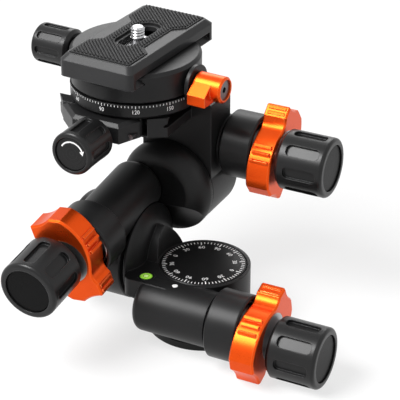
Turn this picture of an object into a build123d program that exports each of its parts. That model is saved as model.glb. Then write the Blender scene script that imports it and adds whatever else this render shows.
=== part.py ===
from build123d import *
import os
from math import cos, hypot, pi, radians, sin, tan

# Panoramic tripod head: a pan, a tilt and a roll stage, each turned by a worm drive,
# with two dovetail clamps and a camera plate on top.
# Millimetres, +Z up, the pan axis is Z and the base stands on Z = 0.

# Worm drive, the same on all three axes
gear_module = 0.625
thread_pitch = pi * gear_module
worm_pitch_r = 5.25
worm_tip_r = 5.75
worm_root_r = 4.6
worm_shaft_r = 4.0
worm_tail_r = 6.0
thread_turns = 7
thread_bite = 0.3
thread_run_out = 1.0
shaft_short = 5.0
end_gap = 0.3
tooth_width = 0.60
flank_angle = 20.0
wheel_face = 5.0
running_gap = 0.05
past = 1.0
sleeve_r = 10.8
eccentric = 4.2
sleeve_back = -17.0
worm_room_r = 6.15
worm_room_end = 10.0
window_half = 14.5
window_floor = 4.3
tube_r = 12.7
tube_back = -18.5
tube_end_round = 3.2
spigot_r = 11.8
spigot_length = 2.0
seam = 1.6
collar_r = 15.8
collar_end = 16.6
collar_chamfer = 0.7
collar_room = 0.5
spring_room_r = 14.3
spring_room_start = 8.0
spring_wire_r = 0.6
spring_coil_r = 12.6
spring_pitch = 1.7
spring_turns = 4
spring_lift = 0.7
ring_start = 16.9
ring_length = 11.5
ring_tip_r = 22.3
ring_step_r = 17.5
ring_step_turn = 12.0
ring_entry_r = 14.1
ring_entry_turn = 17.0
ring_pocket_r = 12.6
ring_pocket_turn = 30.0
ring_saddle_r = 13.0
ring_saddle_turn = 56.0
ring_flank_r = 14.5
ring_flank_turn = 78.0
ring_rise_r = 17.4
ring_rise_turn = 104.0
ring_lobe_r = 21.3
ring_lobe_turn = 133.0
ring_corner_r = 21.6
ring_corner_turn = 149.0
ring_dip_r = 20.2
ring_dip_turn = 165.0
ring_rib_r = 13.7
ring_rib_step = 1.15
ring_rib_long = 3.2
ring_rib_wide = 1.4
ring_rib_inset = 1.5
ring_ribs = 3
ring_rib_turn = 70.0
ring_rib_pitch = 13.0
tip_rib_r = 20.6
tip_rib_turn = 3.2
tip_rib_step_r = 2.2
tip_rib_step_turn = 4.4
tip_rib_lean = 52.0
tip_ribs = 2
ring_corner = 1.0
ring_front_chamfer = 0.8
ring_back_chamfer = 0.5
round_reach = 20.9
half_turn = 180.0
knob_start = 30.4
knob_end = 53.8
knob_r = 14.0
knob_rim_r = 13.0
knob_seat_r = 10.9
knob_flutes = 8
flute_depth_share = 0.24
flute_width_share = 0.38
flute_length_share = 0.68
flute_round_share = 0.15
flute_shift_share = 0.03
knob_back_chamfer = 1.6
knob_rim_extra = 0.6
knob_seat_depth = 2.2
knob_cap_inset = 0.7
knob_cap_chamfer = 0.4

# Pan stage
base_r = 26.1
base_height = 4.5
base_top_chamfer = 0.9
base_bottom_chamfer = 0.5
post_r = 8.0
post_foot_r = 10.5
post_foot_height = 2.0
post_top = 27.5
tripod_thread_r = 4.7625
tripod_thread_depth = 14.0
hub_r = 12.0
pan_wheel_teeth = 60
pan_wheel_z = 14.4
housing_r = 21.7
housing_bottom = 5.0
housing_top = 31.0
wheel_room_r = 19.7
wheel_room_gap = 0.5
bush_r = 9.6
bush_top = 22.5
nut_r = 11.8
nut_height = 3.6
nut_slot_width = 2.4
nut_slot_height = 2.0
nut_lift = 0.4
nut_room_r = 12.5
dial_r = 19.9
dial_bottom = 29.6
dial_top = 31.2
dial_boss_r = 7.0
dial_chamfer = 0.4
dial_room_r = 20.2
dial_room_floor = 29.2
dial_room_wall = 1.0
housing_chamfer = 0.8
pan_gap = 18.0
pan_ring_turn = 55.0

# Neck and bubble level on the pan housing
tilt_z = 30.0
flange_r = 23.0
flange_left = -29.3
flange_right = -25.2
neck_clear_r = 20.9
neck_half_width = 11.5
neck_arch_z = 27.0
neck_arch_half = 7.6
neck_arch_mid_z = 38.0
neck_mid_y = 1.5
neck_top = 45.0
neck_right = -10.0
tab_left = -27.4
tab_right = -5.0
tab_front = -27.8
tab_back = -4.0
tab_bottom = 22.0
tab_top = 31.0
bubble_x = -17.8
bubble_y = -22.0
bubble_r = 3.0
bezel_r = 3.9
bubble_floor = 29.7
bubble_bed = 0.3
bezel_proud = 0.2
bubble_proud = 0.1
bubble_round = 0.5
tab_corner = 4.0
neck_sink = 2.0
neck_reach = 5.0
flange_rim = 1.0
flange_dome_x = -24.4
flange_dome_r = 11.0
flange_bend_x = -26.0
flange_bend_r = 19.6

# Tilt stage
tilt_lean = 7.0
tilt_wheel_x = -45.6
tilt_wheel_teeth = 60
drum_right = -31.5
drum_left = -62.0
drum_clear_r = 23.6
tilt_gap = 20.9
tilt_ring_turn = 50.0
tilt_axle_right = -21.7
tilt_axle_left = -57.0
tilt_nut_x = -55.0
end_cap_depth = 3.4
end_cap_inset = 0.7
end_cap_chamfer = 0.5
end_cap_dish = 1.6
tilt_cap_rim = 4.0
roll_cap_rim = 3.0
drum_round = 2.0
drum_chamfer = 0.6

# Roll stage
roll_x = -30.0
roll_z = 53.7
roll_wheel_y = 38.2
roll_wheel_teeth = 45
roll_wheel_face = 4.0
flange_back = 23.6
donut_ridge_y = 13.5
donut_ridge_r = 14.0
donut_dish_y = 17.0
donut_rim = 2.0
donut_shoulder_in = 2.9
donut_shoulder_down = 2.6
donut_dish_rise = 0.9
donut_centre_r = 2.0
roll_body_front = 24.3
roll_body_back = 49.5
roll_body_r = 22.8
block_right = -8.4
block_left = -44.0
block_top = 98.4
roll_gap = 22.4
roll_ring_turn = 168.0
roll_axle_r = 6.5
roll_axle_front = 18.5
roll_axle_back = 45.4
roll_nut_r = 9.5
roll_nut_y = 41.2
roll_room_r = 15.0
roll_room_front = 35.8

# Dovetail shared by both clamps and both tongues
tongue_gap = 0.3
tongue_half = 18.7
tongue_edge = 0.8
tongue_neck_half = 15.9
tongue_neck = 3.6
tongue_height = 4.9
channel_half = 19.1
channel_edge = 0.9
channel_lip_half = 16.2
channel_lip = 3.8
channel_depth = 4.6
channel_over = 2.0
channel_reach = 60.0
screw_hole_depth = 4.2
pin_hole_depth = 12.0

# Lower clamp platform
clamp_x = -44.3
clamp_y = 19.6
platform_bottom = 90.4
platform_floor = 95.0
platform_left = -75.5
platform_front = -3.6
platform_back = 44.0
platform_gap_left = -69.7
platform_gap_right = -26.3
platform_right = -18.7
platform_corner_y = 1.4
jaw_slot_depth = 6.0
jaw_slot_floor = 0.7
jaw_right = -29.3
platform_front_cut = 7.0
platform_back_cut = 6.0
platform_bite = 1.0
gusset_left = -52.0
gusset_right = -36.0
gusset_top_left = -64.0
gusset_top_right = -28.0
gusset_bottom = 82.5
gusset_depth = 12.0
jaw_front = -15.0
jaw_seam = 0.4
tongue_slot_left = -64.0
tongue_slot_right = -33.0
tongue_slot_back = 5.0
lip_clear = 6.0
lower_pin_z = 92.4
lock_screw_tip = 0.2
tongue_lift = 0.3
jaw_tip_left = -58.0
jaw_tip_right = -34.4
jaw_chamfer = 1.6
jaw_boss_r = 5.4
jaw_boss_length = 3.6
pin_bite = 6.0
pin_reach = 3.0
knob_screw_short = 4.0
clamp_knob_rim = 0.8
clamp_knob_seat = 2.0
lock_x = -44.3
lock_z = 94.1
lock_knob_start = -19.0
lock_knob_end = -39.4
lock_knob_r = 10.0
clamp_screw_r = 2.0
clamp_screw_gap = 0.3
guide_pin_r = 1.3
guide_pin_spread = 13.0

# Panning clamp
clamp_turn = -3.3
scale_r = 30.3
scale_top = 106.9
scale_chamfer = 1.4
foot_half_length = 19.0
body_r = 30.0
body_bottom = 107.6
body_floor = 116.4
bolt_r = 4.0
bolt_head_r = 7.0
bolt_head_height = 2.2
bolt_head_room = 3.0
bolt_head_lift = 0.8
bolt_seat_depth = 3.4
bolt_head_gap = 0.5
body_bottom_chamfer = 0.6
body_top_chamfer = 1.4
jaw_lift = 0.2
pin_drop = -2.0
upper_hole_depth = 12.0
upper_pin_bite = 4.0
upper_pin_reach = 8.0
upper_screw_reach = 7.0
upper_boss_r = 5.2
boss_bite = 2.0
notch_left = -8.5
notch_right = 7.8
notch_depth = 1.7
notch_back = -22.0
clamp_split = -21.0
jaw_axis_z = 113.9
jaw_knob_start = -32.9
jaw_knob_end = -52.3
jaw_knob_r = 9.35
lever_z = 111.3
lever_start = 32.8
lever_end = 46.8
lever_hub_r = 6.1
lever_arm = 10.6
lever_arm_width = 9.0
lever_arm_low = -5.7
lever_arm_high = -0.9
lever_arm_root_y = -2.6
lever_arm_root_z = 5.4
lever_arm_inset = 0.3
lever_screw_r = 4.7
lever_boss_r = 8.8
lever_neck_r = 4.0
lever_boss_start = 30.6
lever_boss_end = 32.4
jaw_rise = 2.6
jaw_rise_in = -19.5
lever_chamfer = 0.7
lever_screw_reach = 10.0
lever_screw_inset = 0.8
lever_screw_head = 3.0
hex_r = 1.5
hex_depth = 2.5

# Camera plate
plate_shift = 2.0
plate_half_width = 19.0
plate_half_length = 36.0
plate_top = 127.5
plate_edge = 124.8
plate_top_half_width = 16.9
plate_top_half_length = 33.2
plate_corner = 3.0
pad_thickness = 1.2
pad_proud = 0.5
pad_half_width = 15.6
pad_half_length = 32.0
pad_waist = 10.6
pad_waist_half = 12.0
slot_half_width = 4.1
slot_length = 26.0
slot_shift = 1.9
slot_room_half_width = 8.6
slot_room_length = 38.0
slot_room_top = 124.4
camera_screw_r = 3.175
camera_screw_top = 131.6
camera_screw_head_r = 7.6
camera_screw_head_bottom = 121.6
camera_screw_neck_r = 3.75
camera_screw_chamfer = 0.6
camera_screw_gap = 0.2
plate_foot_inset = 1.5
skirt_thickness = 4.0
skirt_bottom = 117.1
pad_slot_rim = 1.5
pad_round = 0.25
pad_slope = 5.0
plate_cut = 20.0


def polar(r, angle):
    """A point at a radius and an angle in degrees."""
    return (r * cos(radians(angle)), r * sin(radians(angle)))


def rod(plane, centre, start, end, radius, mode=Mode.ADD):
    """A round bar or hole along the plane's normal, between two heights above the plane."""
    with Locations(plane.offset(min(start, end)).location * Pos(centre[0], centre[1], 0)):
        Cylinder(radius, abs(end - start), align=(Align.CENTER, Align.CENTER, Align.MIN), mode=mode)


def slab(x_range, y_range, z_range, mode=Mode.ADD):
    """A box between two limits on each axis."""
    middle = [(low + high) / 2 for low, high in (x_range, y_range, z_range)]
    size = [abs(high - low) for low, high in (x_range, y_range, z_range)]
    with Locations(tuple(middle)):
        Box(*size, mode=mode)


def save(piece, name):
    """Name a piece and write it."""
    piece.label = name
    export_step(piece, f"parts/{name}.step")


os.makedirs("parts", exist_ok=True)


# Gears
def worm_wheel(teeth, face, bore_r):
    """A wheel with straight-sided teeth, one of them centred on the local x axis."""
    pitch_r = gear_module * teeth / 2
    tip_r = pitch_r + worm_tip_r - worm_pitch_r
    root_r = pitch_r - (worm_pitch_r - worm_root_r)
    tip_half = tooth_width / 2 - (tip_r - pitch_r) * tan(radians(flank_angle))
    root_half = tooth_width / 2 + (pitch_r - root_r) * tan(radians(flank_angle))
    outline = []
    for tooth in range(teeth):
        turn = Location((0, 0, 0), (0, 0, 1), 360 * tooth / teeth)
        for x, y in ((root_r, -root_half), (tip_r, -tip_half), (tip_r, tip_half), (root_r, root_half)):
            outline.append((turn * Location((x, y, 0))).position)
    with BuildPart() as wheel:
        with BuildSketch(Plane.XY.offset(-face / 2)):
            with BuildLine():
                Polyline(*outline, close=True)
            make_face()
            Circle(bore_r, mode=Mode.SUBTRACT)
        extrude(amount=face)
    return wheel.part


def worm_shaft(gap):
    """Worm, tail journal and the long shaft that reaches into the knob."""
    half = thread_turns * thread_pitch / 2
    tip_half = tooth_width / 2 - (worm_tip_r - worm_pitch_r) * tan(radians(flank_angle))
    base_r = worm_root_r - thread_bite
    base_half = tooth_width / 2 + (worm_pitch_r - base_r) * tan(radians(flank_angle))
    with BuildPart() as worm:
        with BuildLine() as path:
            Helix(pitch=thread_pitch, height=2 * half, radius=worm_pitch_r, center=(0, 0, -half))
        start = Plane(origin=path.line @ 0, x_dir=(1, 0, 0), z_dir=path.line % 0)
        with BuildSketch(start):
            with BuildLine():
                Polyline(
                    (base_r - worm_pitch_r, -base_half),
                    (worm_tip_r - worm_pitch_r, -tip_half),
                    (worm_tip_r - worm_pitch_r, tip_half),
                    (base_r - worm_pitch_r, base_half),
                    close=True,
                )
            make_face()
        sweep(is_frenet=True)
        rod(Plane.XY, (0, 0), -half - thread_run_out, half + thread_run_out, worm_root_r)
        rod(Plane.XY, (0, 0), -window_half, gap + knob_end - shaft_short, worm_shaft_r)
        rod(Plane.XY, (0, 0), sleeve_back + end_gap, -window_half, worm_tail_r)
    return worm.part


# Pieces of one worm drive, built on the worm axis with the knob toward +Z
def eccentric_sleeve(gap):
    """Sleeve that carries the worm off its own centre, open toward the wheel."""
    with BuildPart() as sleeve:
        rod(Plane.XY, (0, eccentric), sleeve_back, gap + ring_start + ring_length, sleeve_r)
        rod(Plane.XY, (0, 0), sleeve_back, -window_half, worm_tail_r + running_gap, Mode.SUBTRACT)
        rod(Plane.XY, (0, 0), -window_half, worm_room_end, worm_room_r, Mode.SUBTRACT)
        rod(Plane.XY, (0, 0), worm_room_end, gap + ring_start + ring_length,
            worm_shaft_r + running_gap, Mode.SUBTRACT)
        slab((window_floor, 2 * sleeve_r), (-2 * sleeve_r, 3 * sleeve_r),
             (-window_half, window_half), Mode.SUBTRACT)
    return sleeve.part


def collar(gap):
    """Collar screwed to the worm tube; the return spring sits in its open end."""
    with BuildPart() as sleeve_collar:
        rod(Plane.XY, (0, eccentric), gap + seam, gap + collar_end, collar_r)
        chamfer(sleeve_collar.edges().filter_by(GeomType.CIRCLE), length=collar_chamfer)
        rod(Plane.XY, (0, eccentric), gap - spigot_length, gap + seam, spigot_r)
        rod(Plane.XY, (0, eccentric), gap - spigot_length, gap + spring_room_start,
            sleeve_r + running_gap, Mode.SUBTRACT)
        rod(Plane.XY, (0, eccentric), gap + spring_room_start, gap + collar_end,
            spring_room_r, Mode.SUBTRACT)
    return sleeve_collar.part


def return_spring(gap):
    """Torsion spring that brings the ring back."""
    with BuildPart() as spring:
        with BuildLine() as path:
            Helix(pitch=spring_pitch, height=spring_turns * spring_pitch, radius=spring_coil_r,
                  center=(0, eccentric, gap + spring_room_start + spring_lift))
        with BuildSketch(Plane(origin=path.line @ 0, z_dir=path.line % 0)):
            Circle(spring_wire_r)
        sweep(is_frenet=True)
    return spring.part


def release_ring(gap, turn):
    """Orange ring with two wings; each wing has a ribbed flank for the thumb."""
    start = gap + ring_start
    ring_plane = Plane(origin=(0, eccentric, start), x_dir=(*polar(1, turn), 0), z_dir=(0, 0, 1))
    with BuildPart() as ring:
        with BuildSketch(ring_plane):
            with BuildLine():
                for half in (0, half_turn):
                    tip = polar(ring_tip_r, half)
                    step = polar(ring_step_r, half + ring_step_turn)
                    pocket = polar(ring_pocket_r, half + ring_pocket_turn)
                    flank = polar(ring_flank_r, half + ring_flank_turn)
                    lobe = polar(ring_lobe_r, half + ring_lobe_turn)
                    corner = polar(ring_corner_r, half + ring_corner_turn)
                    Line(tip, step)
                    ThreePointArc(step, polar(ring_entry_r, half + ring_entry_turn), pocket)
                    ThreePointArc(pocket, polar(ring_saddle_r, half + ring_saddle_turn), flank)
                    ThreePointArc(flank, polar(ring_rise_r, half + ring_rise_turn), lobe)
                    Line(lobe, corner)
                    dip = polar(ring_dip_r, half + ring_dip_turn)
                    ThreePointArc(corner, dip, polar(ring_tip_r, half + half_turn))
            make_face()
        extrude(amount=ring_length)
        uprights = [edge for edge in ring.edges().filter_by(Axis.Z)
                    if hypot(edge.center().X, edge.center().Y - eccentric) > round_reach]
        fillet(uprights, radius=ring_corner)
        chamfer(ring.faces().sort_by(Axis.Z)[-1].outer_wire().edges(), length=ring_front_chamfer)
        chamfer(ring.faces().sort_by(Axis.Z)[0].outer_wire().edges(), length=ring_back_chamfer)
        for half in (0, half_turn):
            for rib in range(ring_ribs):
                angle = turn + half + ring_rib_turn + ring_rib_pitch * rib
                spot = polar(ring_rib_r + ring_rib_step * rib, angle)
                with Locations(Location((spot[0], eccentric + spot[1], start + ring_length / 2),
                                        (0, 0, 1), angle)):
                    Box(ring_rib_long, ring_rib_wide, ring_length - 2 * ring_rib_inset)
            for rib in range(tip_ribs):
                angle = turn + half + tip_rib_turn + tip_rib_step_turn * rib
                spot = polar(tip_rib_r - tip_rib_step_r * rib, angle)
                with Locations(Location((spot[0], eccentric + spot[1], start + ring_length / 2),
                                        (0, 0, 1), turn + half + tip_rib_lean)):
                    Box(ring_rib_wide, ring_rib_wide, ring_length - 2 * ring_rib_inset)
        rod(Plane.XY, (0, eccentric), start, start + ring_length, sleeve_r, Mode.SUBTRACT)
    return ring.part


def fluted_knob(start, end, radius, rim_r, seat_r, flutes, shaft_r, shaft_end):
    """Round grip with long pockets, a rounded rim and a seat for its end cap."""
    length = end - start
    with BuildPart() as pocket:
        Box(flute_depth_share * radius, flute_width_share * radius, flute_length_share * length)
        fillet(pocket.edges().filter_by(Axis.X), radius=flute_round_share * radius)
    with BuildPart() as knob:
        rod(Plane.XY, (0, 0), start, end, radius)
        chamfer(knob.edges().group_by(Axis.Z)[0], length=knob_back_chamfer)
        fillet(knob.edges().group_by(Axis.Z)[-1], radius=radius - rim_r + knob_rim_extra)
        with Locations((0, 0, (start + end) / 2 + flute_shift_share * length)):
            with PolarLocations(radius, flutes):
                add(pocket.part, mode=Mode.SUBTRACT)
        rod(Plane.XY, (0, 0), end - knob_seat_depth, end, seat_r, Mode.SUBTRACT)
        rod(Plane.XY, (0, 0), start, shaft_end, shaft_r, Mode.SUBTRACT)
    return knob.part


def knob_cap(end, seat_r):
    """Shallow disc that closes the knob's end."""
    with BuildPart() as cap:
        rod(Plane.XY, (0, 0), end - knob_seat_depth, end - knob_cap_inset, seat_r)
        chamfer(cap.edges().group_by(Axis.Z)[-1], length=knob_cap_chamfer)
    return cap.part


def worm_tube(plane, start, gap):
    """Outside of a worm tube with its rounded closed end."""
    with BuildPart() as tube:
        rod(Plane.XY, (0, eccentric), start, gap, tube_r)
        fillet(tube.edges().group_by(Axis.Z)[0], radius=tube_end_round)
    return plane.location * tube.part


def worm_tube_bore(plane, gap):
    """Cuts the sleeve bore and the collar's seat out of a casting."""
    rod(plane, (0, eccentric), sleeve_back - end_gap, gap + past, sleeve_r + running_gap, Mode.SUBTRACT)
    rod(plane, (0, eccentric), gap - spigot_length, gap + past, spigot_r, Mode.SUBTRACT)


centre_distance = worm_pitch_r + gear_module * pan_wheel_teeth / 2
roll_distance = worm_pitch_r + gear_module * roll_wheel_teeth / 2
lean_y = cos(radians(tilt_lean))
lean_z = sin(radians(tilt_lean))
pan_unit = Plane(origin=(0, -centre_distance, pan_wheel_z), x_dir=(0, 1, 0), z_dir=(1, 0, 0))
tilt_unit = Plane(origin=(tilt_wheel_x, -centre_distance * lean_z, tilt_z + centre_distance * lean_y),
                  x_dir=(0, lean_z, -lean_y), z_dir=(0, -lean_y, -lean_z))
roll_unit = Plane(origin=(roll_x, roll_wheel_y, roll_z + roll_distance), x_dir=(0, 0, -1), z_dir=(1, 0, 0))

for stage, unit, gap, ring_turn in (
    ("pan", pan_unit, pan_gap, pan_ring_turn),
    ("tilt", tilt_unit, tilt_gap, tilt_ring_turn),
    ("roll", roll_unit, roll_gap, roll_ring_turn),
):
    knob = fluted_knob(gap + knob_start, gap + knob_end, knob_r, knob_rim_r, knob_seat_r,
                       knob_flutes, worm_shaft_r, gap + knob_end - shaft_short)
    save(unit.location * worm_shaft(gap), f"{stage}_worm")
    save(unit.location * eccentric_sleeve(gap), f"{stage}_sleeve")
    save(unit.location * collar(gap), f"{stage}_collar")
    save(unit.location * return_spring(gap), f"{stage}_spring")
    save(unit.location * release_ring(gap, ring_turn), f"{stage}_ring")
    save(unit.location * knob, f"{stage}_knob")
    save(unit.location * knob_cap(gap + knob_end, knob_seat_r), f"{stage}_knob_cap")

# Each wheel has a tooth that points at the middle of its worm.
pan_wheel_plane = Plane(origin=(0, 0, pan_wheel_z), x_dir=(0, -1, 0), z_dir=(0, 0, 1))
tilt_wheel_plane = Plane(origin=(tilt_wheel_x, 0, tilt_z), x_dir=(0, -lean_z, lean_y), z_dir=(1, 0, 0))
roll_wheel_plane = Plane(origin=(roll_x, roll_wheel_y, roll_z), x_dir=(0, 0, 1), z_dir=(0, 1, 0))
save(pan_wheel_plane.location * worm_wheel(pan_wheel_teeth, wheel_face, post_r), "pan_wheel")
save(tilt_wheel_plane.location * worm_wheel(tilt_wheel_teeth, wheel_face, post_r), "tilt_wheel")
save(roll_wheel_plane.location * worm_wheel(roll_wheel_teeth, roll_wheel_face, roll_axle_r), "roll_wheel")


# Base: disc, post with the tripod socket, nut and dial
hub_top = pan_wheel_z - wheel_face / 2
with BuildPart() as base_plate:
    rod(Plane.XY, (0, 0), 0, base_height, base_r)
    chamfer(base_plate.edges().group_by(Axis.Z)[-1], length=base_top_chamfer)
    chamfer(base_plate.edges().group_by(Axis.Z)[0], length=base_bottom_chamfer)
    rod(Plane.XY, (0, 0), base_height, hub_top, hub_r)
    rod(Plane.XY, (0, 0), 0, hub_top, post_r, Mode.SUBTRACT)
    rod(Plane.XY, (0, 0), 0, post_foot_height, post_foot_r, Mode.SUBTRACT)
save(base_plate.part, "base_plate")

with BuildPart() as pan_post:
    rod(Plane.XY, (0, 0), 0, post_top, post_r)
    rod(Plane.XY, (0, 0), 0, post_foot_height, post_foot_r)
    rod(Plane.XY, (0, 0), 0, tripod_thread_depth, tripod_thread_r, Mode.SUBTRACT)
save(pan_post.part, "pan_post")


def slotted_nut(radius, height, bore_r):
    """Round nut with two spanner slots."""
    with BuildPart() as nut:
        rod(Plane.XY, (0, 0), 0, height, radius)
        rod(Plane.XY, (0, 0), 0, height, bore_r, Mode.SUBTRACT)
        with Locations((0, 0, height)):
            Box(2 * radius + past, nut_slot_width, nut_slot_height, mode=Mode.SUBTRACT)
    return nut.part


save(Pos(0, 0, bush_top + nut_lift) * slotted_nut(nut_r, nut_height, post_r), "pan_retainer")

with BuildPart() as pan_dial:
    rod(Plane.XY, (0, 0), dial_bottom, dial_top, dial_r)
    chamfer(pan_dial.edges().group_by(Axis.Z)[-1], length=dial_chamfer)
    rod(Plane.XY, (0, 0), post_top, dial_bottom, dial_boss_r)
save(pan_dial.part, "pan_dial")

# Pan housing: round body, worm tube, bubble tab, neck and tilt flange
tilt_plane = Plane(origin=(0, 0, tilt_z), x_dir=(0, 1, 0), z_dir=(1, 0, 0))
pan_tube = worm_tube(pan_unit, tube_back, pan_gap)
tilt_tube = worm_tube(tilt_unit, tube_back, tilt_gap)
roll_tube = worm_tube(roll_unit, tube_back, roll_gap)
room_top = pan_wheel_z + wheel_face / 2 + wheel_room_gap
flange_sketch = Plane(origin=(0, 0, tilt_z), x_dir=(1, 0, 0), z_dir=(0, -1, 0))
with BuildPart() as neck_flange:
    with BuildSketch(flange_sketch):
        with BuildLine():
            Polyline((flange_dome_x, 0), (flange_left, 0), (flange_left, flange_r),
                     (flange_left + flange_rim, flange_r))
            ThreePointArc((flange_left + flange_rim, flange_r), (flange_bend_x, flange_bend_r),
                          (flange_dome_x, flange_dome_r))
            Line((flange_dome_x, flange_dome_r), (flange_dome_x, 0))
        make_face()
    revolve(axis=Axis((0, 0, tilt_z), (1, 0, 0)))
with BuildPart() as pan_housing:
    rod(Plane.XY, (0, 0), housing_bottom, housing_top, housing_r)
    chamfer(pan_housing.edges().group_by(Axis.Z)[0], length=housing_chamfer)
    add(pan_tube)
    slab((tab_left, tab_right), (tab_front, tab_back), (tab_bottom, tab_top))
    fillet(pan_housing.edges().filter_by(Axis.Z).group_by(Axis.X)[0], radius=tab_corner)
    add(neck_flange.part)
    with BuildSketch(Plane.YZ.offset(flange_right - neck_sink)):
        with BuildLine():
            Line((neck_mid_y - neck_half_width, housing_bottom),
                 (neck_mid_y + neck_half_width, housing_bottom))
            for side in (-1, 1):
                wall_y = neck_mid_y + side * neck_half_width
                Line((wall_y, housing_bottom), (wall_y, neck_arch_z))
                ThreePointArc((wall_y, neck_arch_z), (neck_mid_y + side * neck_arch_half, neck_arch_mid_z),
                              (neck_mid_y, neck_top))
        make_face()
    extrude(amount=neck_right - flange_right + neck_sink)
    rod(Plane.XY, (0, 0), dial_room_floor, neck_top + neck_reach, neck_clear_r, Mode.SUBTRACT)
    rod(Plane.XY, (0, 0), dial_room_floor - dial_room_wall, housing_top, housing_r)
    rod(Plane.XY, (0, 0), dial_room_floor, housing_top, dial_room_r, Mode.SUBTRACT)
    rod(Plane.XY, (0, 0), housing_bottom, room_top, wheel_room_r, Mode.SUBTRACT)
    rod(Plane.XY, (0, 0), housing_bottom, bush_top, bush_r, Mode.SUBTRACT)
    rod(Plane.XY, (0, 0), bush_top, dial_room_floor, nut_room_r, Mode.SUBTRACT)
    worm_tube_bore(pan_unit, pan_gap)
    rod(pan_unit, (0, eccentric), pan_gap, pan_gap + ring_start, collar_r + collar_room, Mode.SUBTRACT)
    rod(Plane.XY, (bubble_x, bubble_y), bubble_floor, tab_top + past, bezel_r, Mode.SUBTRACT)
    rod(tilt_plane, (0, 0), flange_left, tilt_axle_right, post_r, Mode.SUBTRACT)
save(pan_housing.part, "pan_housing")

with BuildPart() as pan_bush:
    rod(Plane.XY, (0, 0), room_top, bush_top, bush_r)
    rod(Plane.XY, (0, 0), room_top, bush_top, post_r + running_gap, Mode.SUBTRACT)
save(pan_bush.part, "pan_bush")

with BuildPart() as bubble_bezel:
    rod(Plane.XY, (bubble_x, bubble_y), bubble_floor, tab_top + bezel_proud, bezel_r)
    rod(Plane.XY, (bubble_x, bubble_y), bubble_floor + bubble_bed, tab_top + bezel_proud, bubble_r,
        Mode.SUBTRACT)
save(bubble_bezel.part, "bubble_bezel")

with BuildPart() as bubble_vial:
    rod(Plane.XY, (bubble_x, bubble_y), bubble_floor + bubble_bed, tab_top + bubble_proud, bubble_r)
    fillet(bubble_vial.edges().group_by(Axis.Z)[-1], radius=bubble_round)
save(bubble_vial.part, "bubble_vial")

# Tilt stage: axle, nut, drum with worm tube and roll flange, drum cap
with BuildPart() as tilt_axle:
    rod(tilt_plane, (0, 0), tilt_axle_left, tilt_axle_right, post_r)
save(tilt_axle.part, "tilt_axle")

save(tilt_plane.offset(tilt_nut_x).location * slotted_nut(nut_r, nut_height, post_r), "tilt_retainer")

roll_plane = Plane(origin=(roll_x, 0, roll_z), x_dir=(0, 0, 1), z_dir=(0, 1, 0))
donut_sketch = Plane(origin=(roll_x, 0, roll_z), x_dir=(1, 0, 0), z_dir=(0, 0, 1))
tilt_room_right = tilt_wheel_x + wheel_face / 2 + wheel_room_gap
with BuildPart() as tilt_housing:
    rod(tilt_plane, (0, 0), drum_left, drum_right, flange_r)
    fillet(tilt_housing.edges().group_by(Axis.X)[0], radius=drum_round)
    chamfer(tilt_housing.edges().group_by(Axis.X)[-1], length=drum_chamfer)
    add(tilt_tube)
    with BuildSketch(donut_sketch):
        with BuildLine():
            Polyline((donut_centre_r, donut_dish_y), (0, donut_dish_y), (0, flange_back),
                     (flange_r, flange_back), (flange_r, flange_back - donut_rim))
            ThreePointArc((flange_r, flange_back - donut_rim),
                          (flange_r - donut_shoulder_in, donut_ridge_y + donut_shoulder_down),
                          (donut_ridge_r, donut_ridge_y))
            ThreePointArc((donut_ridge_r, donut_ridge_y), (donut_ridge_r / 2, donut_dish_y - donut_dish_rise),
                          (donut_centre_r, donut_dish_y))
        make_face()
    revolve(axis=Axis((roll_x, 0, roll_z), (0, 1, 0)))
    rod(tilt_plane, (0, 0), drum_right, 0, drum_clear_r, Mode.SUBTRACT)
    rod(tilt_plane, (0, 0), drum_left, tilt_room_right, wheel_room_r, Mode.SUBTRACT)
    rod(tilt_plane, (0, 0), tilt_room_right, drum_right, post_r + running_gap, Mode.SUBTRACT)
    worm_tube_bore(tilt_unit, tilt_gap)
    rod(roll_plane, (0, 0), roll_axle_front, flange_back, roll_axle_r, Mode.SUBTRACT)
save(tilt_housing.part, "tilt_housing")

with BuildPart() as tilt_end_cap:
    rod(tilt_plane, (0, 0), drum_left + end_cap_inset, drum_left + end_cap_inset + end_cap_depth,
        wheel_room_r)
    chamfer(tilt_end_cap.edges().group_by(Axis.X)[0], length=end_cap_chamfer)
    rod(tilt_plane, (0, 0), drum_left, drum_left + end_cap_dish, wheel_room_r - tilt_cap_rim, Mode.SUBTRACT)
save(tilt_end_cap.part, "tilt_end_cap")

# Roll stage: axle, nut, housing with worm tube and lower clamp platform, rear cap
with BuildPart() as roll_axle:
    rod(roll_plane, (0, 0), roll_axle_front, roll_axle_back, roll_axle_r)
save(roll_axle.part, "roll_axle")

roll_nut = slotted_nut(roll_nut_r, nut_height, roll_axle_r)
save(roll_plane.offset(roll_nut_y).location * roll_nut, "roll_retainer")


def channel_outline(plane):
    """Cross-section of the dovetail channel; the plane's x runs across it and its y is up."""
    with BuildSketch(plane) as outline:
        with BuildLine():
            Polyline(
                (-channel_half, 0), (channel_half, 0), (channel_half, channel_edge),
                (channel_lip_half, channel_lip), (channel_lip_half, channel_depth + channel_over),
                (-channel_lip_half, channel_depth + channel_over), (-channel_lip_half, channel_lip),
                (-channel_half, channel_edge), close=True,
            )
        make_face()
    return outline.sketch


def tongue_outline(plane):
    """Cross-section of the dovetail tongue that fits the channel."""
    with BuildSketch(plane) as outline:
        with BuildLine():
            Polyline(
                (-tongue_half, tongue_gap), (tongue_half, tongue_gap), (tongue_half, tongue_edge),
                (tongue_neck_half, tongue_neck), (tongue_neck_half, tongue_height),
                (-tongue_neck_half, tongue_height), (-tongue_neck_half, tongue_neck),
                (-tongue_half, tongue_edge), close=True,
            )
        make_face()
    return outline.sketch


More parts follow.
